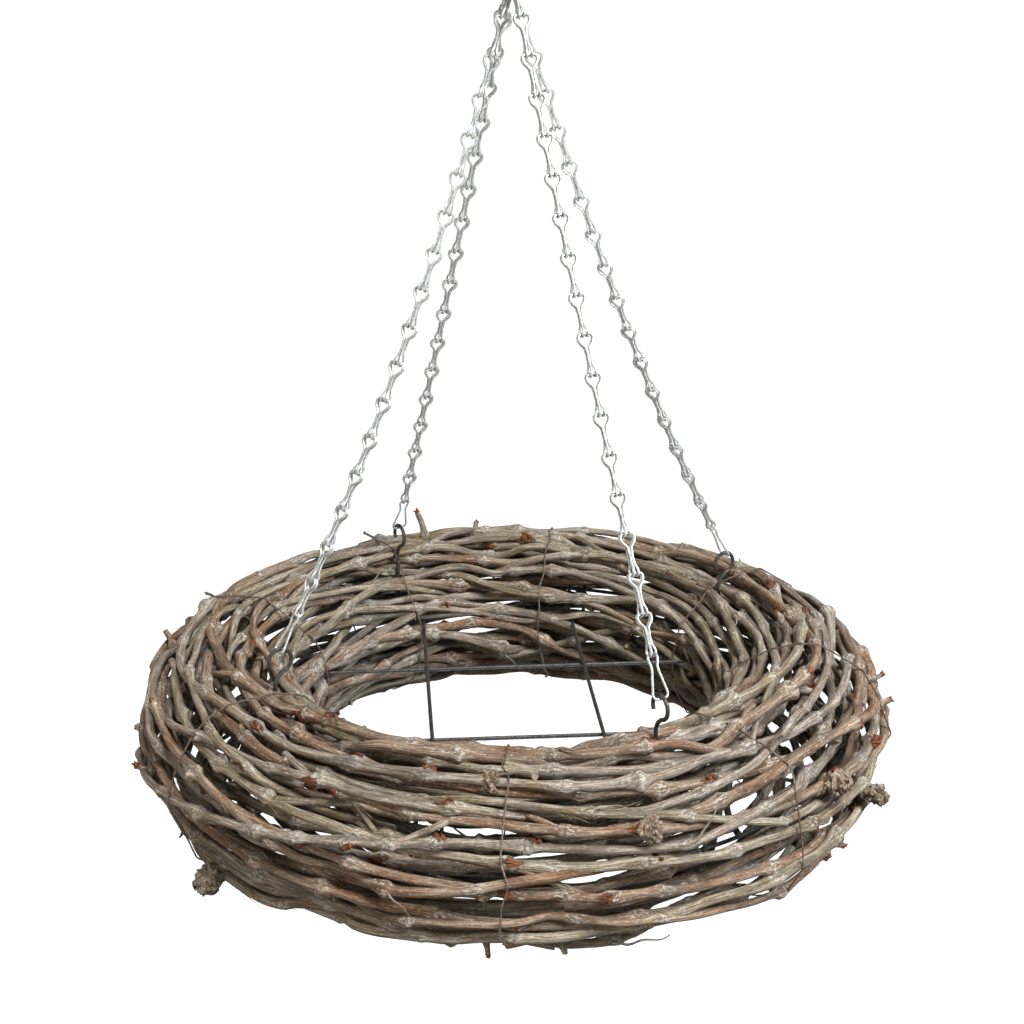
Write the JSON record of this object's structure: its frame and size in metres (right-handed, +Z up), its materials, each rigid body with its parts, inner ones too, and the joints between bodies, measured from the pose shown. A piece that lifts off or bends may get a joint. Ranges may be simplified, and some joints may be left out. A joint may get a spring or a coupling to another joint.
{
  "type": "hanging advent wreath",
  "caption": "Hanging advent wreath: bark-covered vine canes bound with wire round a welded frame with cross bars, hung by link chains from a ring.",
  "frame": {"origin": "highest point inside the hanging ring, where the nail or ceiling hook bears", "axes": "+Z up along the wreath's axis, -Y front, +X right"},
  "size_m": [0.4565, 0.4498, 0.5121],
  "materials": {
    "bark_grey": "weathered stringy vine bark, matt",
    "bark_brown": "stringy vine bark, matt",
    "bark_tan": "dry vine bark, matt",
    "frame_wire": "bare drawn iron wire, dark, semi-matt",
    "tie_wire": "thin annealed iron wire, rusty",
    "zinc_wire": "zinc plated steel wire, satin"
  },
  "bodies": {
    "root": {"cane_inner_01": "bark_grey", "cane_inner_02": "bark_brown", "cane_inner_03": "bark_grey", "cane_inner_04": "bark_tan", "cane_inner_05": "bark_grey", "cane_inner_06": "bark_brown", "cane_inner_07": "bark_grey", "cane_inner_08": "bark_brown", "cane_inner_09": "bark_grey", "cane_inner_10": "bark_tan", "cane_inner_11": "bark_grey", "cane_inner_12": "bark_brown", "cane_inner_13": "bark_grey", "cane_inner_14": "bark_brown", "cane_inner_15": "bark_grey", "cane_inner_16": "bark_tan", "cane_inner_17": "bark_grey", "cane_inner_18": "bark_brown", "cane_outer_01": "bark_grey", "cane_outer_02": "bark_tan", "cane_outer_03": "bark_grey", "cane_outer_04": "bark_brown", "cane_outer_05": "bark_grey", "cane_outer_06": "bark_brown", "cane_outer_07": "bark_grey", "cane_outer_08": "bark_tan", "cane_outer_09": "bark_grey", "cane_outer_10": "bark_brown", "cane_outer_11": "bark_grey", "cane_outer_12": "bark_brown", "cane_outer_13": "bark_grey", "cane_outer_14": "bark_tan", "cane_outer_15": "bark_grey", "cane_outer_16": "bark_brown", "cane_outer_17": "bark_grey", "cane_outer_18": "bark_brown", "wire_frame": "frame_wire", "cross_bar_1": "frame_wire", "cross_bar_2": "frame_wire", "cross_bar_3": "frame_wire", "cross_bar_4": "frame_wire", "tie_wire_1": "tie_wire", "tie_wire_2": "tie_wire", "tie_wire_3": "tie_wire", "tie_wire_4": "tie_wire", "tie_wire_5": "tie_wire", "tie_wire_6": "tie_wire", "tie_wire_7": "tie_wire", "tie_wire_8": "tie_wire", "chain_front_right": "zinc_wire", "chain_front_left": "zinc_wire", "chain_back_right": "zinc_wire", "chain_back_left": "zinc_wire", "hanging_ring": "zinc_wire"}
  },
  "joints": []
}
